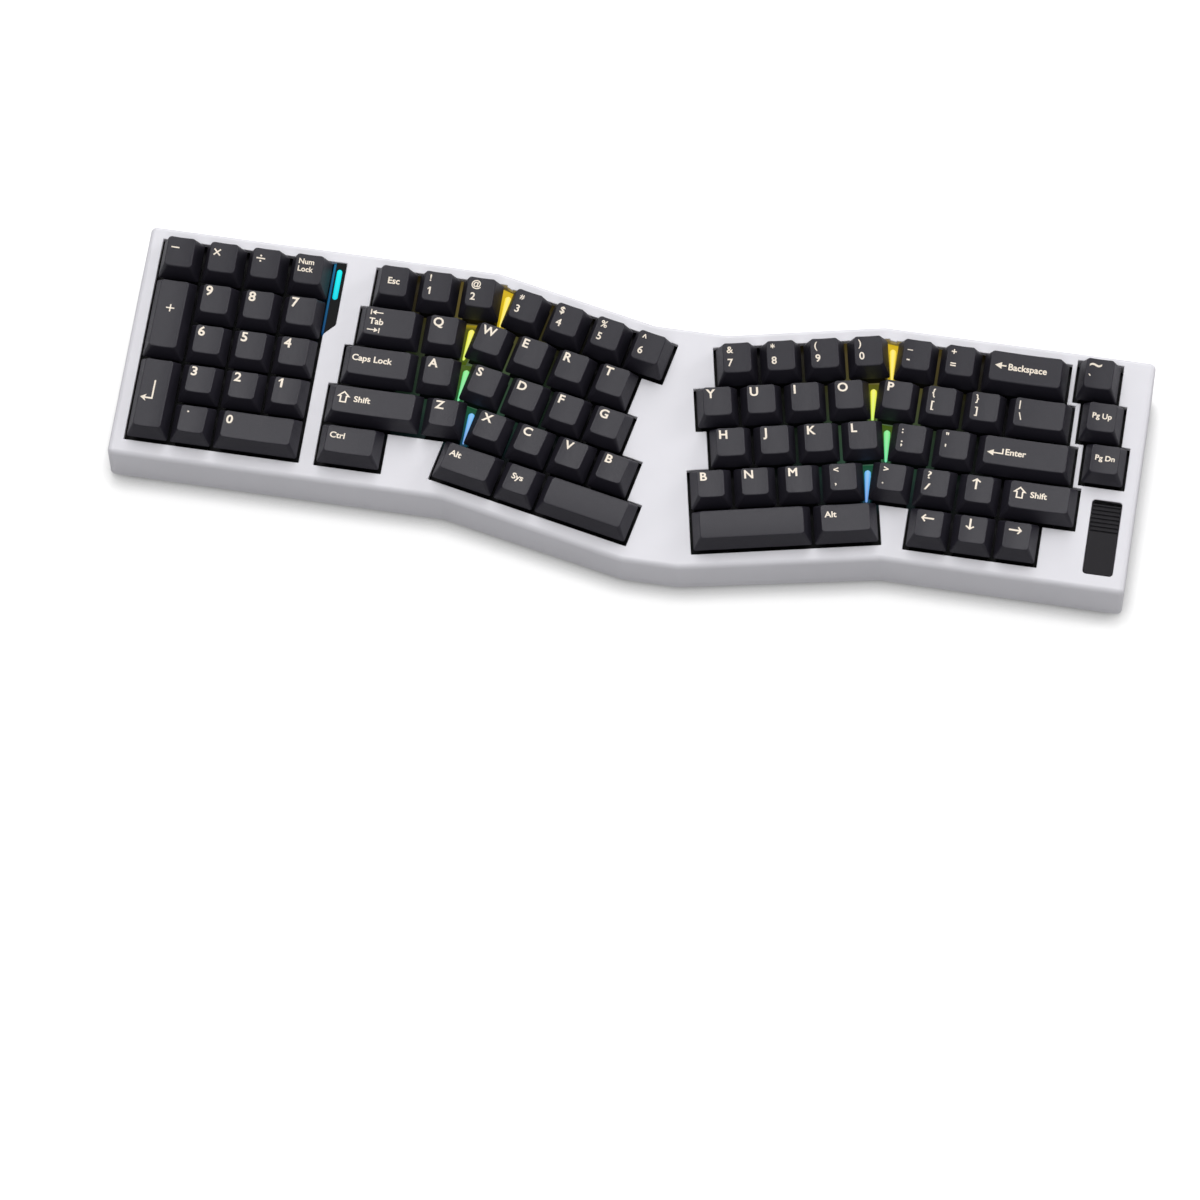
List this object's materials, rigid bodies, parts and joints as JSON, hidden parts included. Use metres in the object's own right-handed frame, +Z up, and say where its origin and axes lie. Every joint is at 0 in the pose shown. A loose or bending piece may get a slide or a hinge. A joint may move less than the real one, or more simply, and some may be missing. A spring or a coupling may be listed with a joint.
{
  "type": "ergonomic mechanical keyboard",
  "caption": "Ergonomic split-angle mechanical keyboard with a left number pad, sculpted keycaps, lit gaps and a ribbed inlay on its underside.",
  "frame": {"origin": "centre of the bounding box on the desk surface, under the rubber feet", "axes": "+X to the right of the typist along the width, +Y away from the typist, +Z up"},
  "size_m": [0.4454, 0.126, 0.0443],
  "materials": {
    "white_case": "satin powder-coated aluminium, white",
    "silver_plate": "bead-blasted anodised aluminium",
    "copper": "copper-coloured plated metal, brushed",
    "rubber": "matte",
    "black_plastic": "matte moulded plastic",
    "keycap": "fine-textured moulded keycap plastic",
    "light": "translucent light guide",
    "light_frame": "tinted plastic",
    "cyan_light": "translucent light guide",
    "plate": "dark coated sheet",
    "board": "circuit board laminate",
    "foam": "open-cell foam",
    "steel": "plain steel",
    "switch": "moulded switch housing",
    "dark_glass": "gloss black"
  },
  "bodies": {
    "case": {"base_plate": "silver_plate", "board_cable": "black_plastic", "bottom_case": "white_case", "case_foam": "foam", "case_screws": "steel", "circuit_board": "board", "fin_insert": "copper", "gasket_pads": "rubber", "indicator_bezel": "dark_glass", "indicator_light_bar": "cyan_light", "light_wedges": "light", "nameplate": "dark_glass", "rubber_feet": "rubber", "side_insert": "black_plastic", "stabiliser_housings": "switch", "switch_housings": "switch", "switch_plate": "plate", "top_case": "white_case", "usb_board": "board", "usb_c_socket": "steel", "wedge_frames": "light_frame"},
    "backslash_key_body": {"backslash_key": "keycap"},
    "backspace_key_body": {"backspace_key": "keycap"},
    "caps_lock_key_body": {"caps_lock_key": "keycap"},
    "control_key_body": {"control_key": "keycap"},
    "down_key_body": {"down_key": "keycap"},
    "enter_key_body": {"enter_key": "keycap"},
    "escape_key_body": {"escape_key": "keycap"},
    "left_alt_key_body": {"left_alt_key": "keycap"},
    "left_digit_keys_body": {"left_digit_keys": "keycap"},
    "left_home_keys_body": {"left_home_keys": "keycap"},
    "left_key_body": {"left_key": "keycap"},
    "left_lower_keys_body": {"left_lower_keys": "keycap"},
    "left_shift_key_body": {"left_shift_key": "keycap"},
    "left_space_key_body": {"left_space_key": "keycap"},
    "left_upper_keys_body": {"left_upper_keys": "keycap"},
    "pad_enter_key_body": {"pad_enter_key": "keycap"},
    "pad_lower_keys_body": {"pad_lower_keys": "keycap"},
    "pad_middle_keys_body": {"pad_middle_keys": "keycap"},
    "pad_operator_keys_body": {"pad_operator_keys": "keycap"},
    "pad_plus_key_body": {"pad_plus_key": "keycap"},
    "pad_point_key_body": {"pad_point_key": "keycap"},
    "pad_upper_keys_body": {"pad_upper_keys": "keycap"},
    "pad_zero_key_body": {"pad_zero_key": "keycap"},
    "page_down_key_body": {"page_down_key": "keycap"},
    "page_up_key_body": {"page_up_key": "keycap"},
    "right_alt_key_body": {"right_alt_key": "keycap"},
    "right_digit_keys_body": {"right_digit_keys": "keycap"},
    "right_home_keys_body": {"right_home_keys": "keycap"},
    "right_key_body": {"right_key": "keycap"},
    "right_lower_keys_body": {"right_lower_keys": "keycap"},
    "right_shift_key_body": {"right_shift_key": "keycap"},
    "right_space_key_body": {"right_space_key": "keycap"},
    "right_upper_keys_body": {"right_upper_keys": "keycap"},
    "system_key_body": {"system_key": "keycap"},
    "tab_key_body": {"tab_key": "keycap"},
    "tilde_key_body": {"tilde_key": "keycap"},
    "up_key_body": {"up_key": "keycap"}
  },
  "joints": [
    {"name": "backslash_key_press", "type": "slide", "parent": "case", "child": "backslash_key_body", "axis": [0, 0.1045, -0.9945], "range_m": [0, 0.004], "stiffness_N_per_m": 75, "springref_m": -0.004},
    {"name": "backspace_key_press", "type": "slide", "parent": "case", "child": "backspace_key_body", "axis": [0, 0.1045, -0.9945], "range_m": [0, 0.004], "stiffness_N_per_m": 75, "springref_m": -0.004},
    {"name": "caps_lock_key_press", "type": "slide", "parent": "case", "child": "caps_lock_key_body", "axis": [0, 0.1045, -0.9945], "range_m": [0, 0.004], "stiffness_N_per_m": 75, "springref_m": -0.004},
    {"name": "control_key_press", "type": "slide", "parent": "case", "child": "control_key_body", "axis": [0, 0.1045, -0.9945], "range_m": [0, 0.004], "stiffness_N_per_m": 75, "springref_m": -0.004},
    {"name": "down_key_press", "type": "slide", "parent": "case", "child": "down_key_body", "axis": [0, 0.1045, -0.9945], "range_m": [0, 0.004], "stiffness_N_per_m": 75, "springref_m": -0.004},
    {"name": "enter_key_press", "type": "slide", "parent": "case", "child": "enter_key_body", "axis": [0, 0.1045, -0.9945], "range_m": [0, 0.004], "stiffness_N_per_m": 75, "springref_m": -0.004},
    {"name": "escape_key_press", "type": "slide", "parent": "case", "child": "escape_key_body", "axis": [0, 0.1045, -0.9945], "range_m": [0, 0.004], "stiffness_N_per_m": 75, "springref_m": -0.004},
    {"name": "left_alt_key_press", "type": "slide", "parent": "case", "child": "left_alt_key_body", "axis": [0, 0.1045, -0.9945], "range_m": [0, 0.004], "stiffness_N_per_m": 75, "springref_m": -0.004},
    {"name": "left_digit_keys_press", "type": "slide", "parent": "case", "child": "left_digit_keys_body", "axis": [0, 0.1045, -0.9945], "range_m": [0, 0.004], "stiffness_N_per_m": 450, "springref_m": -0.004},
    {"name": "left_home_keys_press", "type": "slide", "parent": "case", "child": "left_home_keys_body", "axis": [0, 0.1045, -0.9945], "range_m": [0, 0.004], "stiffness_N_per_m": 375, "springref_m": -0.004},
    {"name": "left_key_press", "type": "slide", "parent": "case", "child": "left_key_body", "axis": [0, 0.1045, -0.9945], "range_m": [0, 0.004], "stiffness_N_per_m": 75, "springref_m": -0.004},
    {"name": "left_lower_keys_press", "type": "slide", "parent": "case", "child": "left_lower_keys_body", "axis": [0, 0.1045, -0.9945], "range_m": [0, 0.004], "stiffness_N_per_m": 375, "springref_m": -0.004},
    {"name": "left_shift_key_press", "type": "slide", "parent": "case", "child": "left_shift_key_body", "axis": [0, 0.1045, -0.9945], "range_m": [0, 0.004], "stiffness_N_per_m": 75, "springref_m": -0.004},
    {"name": "left_space_key_press", "type": "slide", "parent": "case", "child": "left_space_key_body", "axis": [0, 0.1045, -0.9945], "range_m": [0, 0.004], "stiffness_N_per_m": 75, "springref_m": -0.004},
    {"name": "left_upper_keys_press", "type": "slide", "parent": "case", "child": "left_upper_keys_body", "axis": [0, 0.1045, -0.9945], "range_m": [0, 0.004], "stiffness_N_per_m": 375, "springref_m": -0.004},
    {"name": "pad_enter_key_press", "type": "slide", "parent": "case", "child": "pad_enter_key_body", "axis": [0, 0.1045, -0.9945], "range_m": [0, 0.004], "stiffness_N_per_m": 75, "springref_m": -0.004},
    {"name": "pad_lower_keys_press", "type": "slide", "parent": "case", "child": "pad_lower_keys_body", "axis": [0, 0.1045, -0.9945], "range_m": [0, 0.004], "stiffness_N_per_m": 225, "springref_m": -0.004},
    {"name": "pad_middle_keys_press", "type": "slide", "parent": "case", "child": "pad_middle_keys_body", "axis": [0, 0.1045, -0.9945], "range_m": [0, 0.004], "stiffness_N_per_m": 225, "springref_m": -0.004},
    {"name": "pad_operator_keys_press", "type": "slide", "parent": "case", "child": "pad_operator_keys_body", "axis": [0, 0.1045, -0.9945], "range_m": [0, 0.004], "stiffness_N_per_m": 300, "springref_m": -0.004},
    {"name": "pad_plus_key_press", "type": "slide", "parent": "case", "child": "pad_plus_key_body", "axis": [0, 0.1045, -0.9945], "range_m": [0, 0.004], "stiffness_N_per_m": 75, "springref_m": -0.004},
    {"name": "pad_point_key_press", "type": "slide", "parent": "case", "child": "pad_point_key_body", "axis": [0, 0.1045, -0.9945], "range_m": [0, 0.004], "stiffness_N_per_m": 75, "springref_m": -0.004},
    {"name": "pad_upper_keys_press", "type": "slide", "parent": "case", "child": "pad_upper_keys_body", "axis": [0, 0.1045, -0.9945], "range_m": [0, 0.004], "stiffness_N_per_m": 225, "springref_m": -0.004},
    {"name": "pad_zero_key_press", "type": "slide", "parent": "case", "child": "pad_zero_key_body", "axis": [0, 0.1045, -0.9945], "range_m": [0, 0.004], "stiffness_N_per_m": 75, "springref_m": -0.004},
    {"name": "page_down_key_press", "type": "slide", "parent": "case", "child": "page_down_key_body", "axis": [0, 0.1045, -0.9945], "range_m": [0, 0.004], "stiffness_N_per_m": 75, "springref_m": -0.004},
    {"name": "page_up_key_press", "type": "slide", "parent": "case", "child": "page_up_key_body", "axis": [0, 0.1045, -0.9945], "range_m": [0, 0.004], "stiffness_N_per_m": 75, "springref_m": -0.004},
    {"name": "right_alt_key_press", "type": "slide", "parent": "case", "child": "right_alt_key_body", "axis": [0, 0.1045, -0.9945], "range_m": [0, 0.004], "stiffness_N_per_m": 75, "springref_m": -0.004},
    {"name": "right_digit_keys_press", "type": "slide", "parent": "case", "child": "right_digit_keys_body", "axis": [0, 0.1045, -0.9945], "range_m": [0, 0.004], "stiffness_N_per_m": 450, "springref_m": -0.004},
    {"name": "right_home_keys_press", "type": "slide", "parent": "case", "child": "right_home_keys_body", "axis": [0, 0.1045, -0.9945], "range_m": [0, 0.004], "stiffness_N_per_m": 450, "springref_m": -0.004},
    {"name": "right_key_press", "type": "slide", "parent": "case", "child": "right_key_body", "axis": [0, 0.1045, -0.9945], "range_m": [0, 0.004], "stiffness_N_per_m": 75, "springref_m": -0.004},
    {"name": "right_lower_keys_press", "type": "slide", "parent": "case", "child": "right_lower_keys_body", "axis": [0, 0.1045, -0.9945], "range_m": [0, 0.004], "stiffness_N_per_m": 450, "springref_m": -0.004},
    {"name": "right_shift_key_press", "type": "slide", "parent": "case", "child": "right_shift_key_body", "axis": [0, 0.1045, -0.9945], "range_m": [0, 0.004], "stiffness_N_per_m": 75, "springref_m": -0.004},
    {"name": "right_space_key_press", "type": "slide", "parent": "case", "child": "right_space_key_body", "axis": [0, 0.1045, -0.9945], "range_m": [0, 0.004], "stiffness_N_per_m": 75, "springref_m": -0.004},
    {"name": "right_upper_keys_press", "type": "slide", "parent": "case", "child": "right_upper_keys_body", "axis": [0, 0.1045, -0.9945], "range_m": [0, 0.004], "stiffness_N_per_m": 525, "springref_m": -0.004},
    {"name": "system_key_press", "type": "slide", "parent": "case", "child": "system_key_body", "axis": [0, 0.1045, -0.9945], "range_m": [0, 0.004], "stiffness_N_per_m": 75, "springref_m": -0.004},
    {"name": "tab_key_press", "type": "slide", "parent": "case", "child": "tab_key_body", "axis": [0, 0.1045, -0.9945], "range_m": [0, 0.004], "stiffness_N_per_m": 75, "springref_m": -0.004},
    {"name": "tilde_key_press", "type": "slide", "parent": "case", "child": "tilde_key_body", "axis": [0, 0.1045, -0.9945], "range_m": [0, 0.004], "stiffness_N_per_m": 75, "springref_m": -0.004},
    {"name": "up_key_press", "type": "slide", "parent": "case", "child": "up_key_body", "axis": [0, 0.1045, -0.9945], "range_m": [0, 0.004], "stiffness_N_per_m": 75, "springref_m": -0.004}
  ]
}
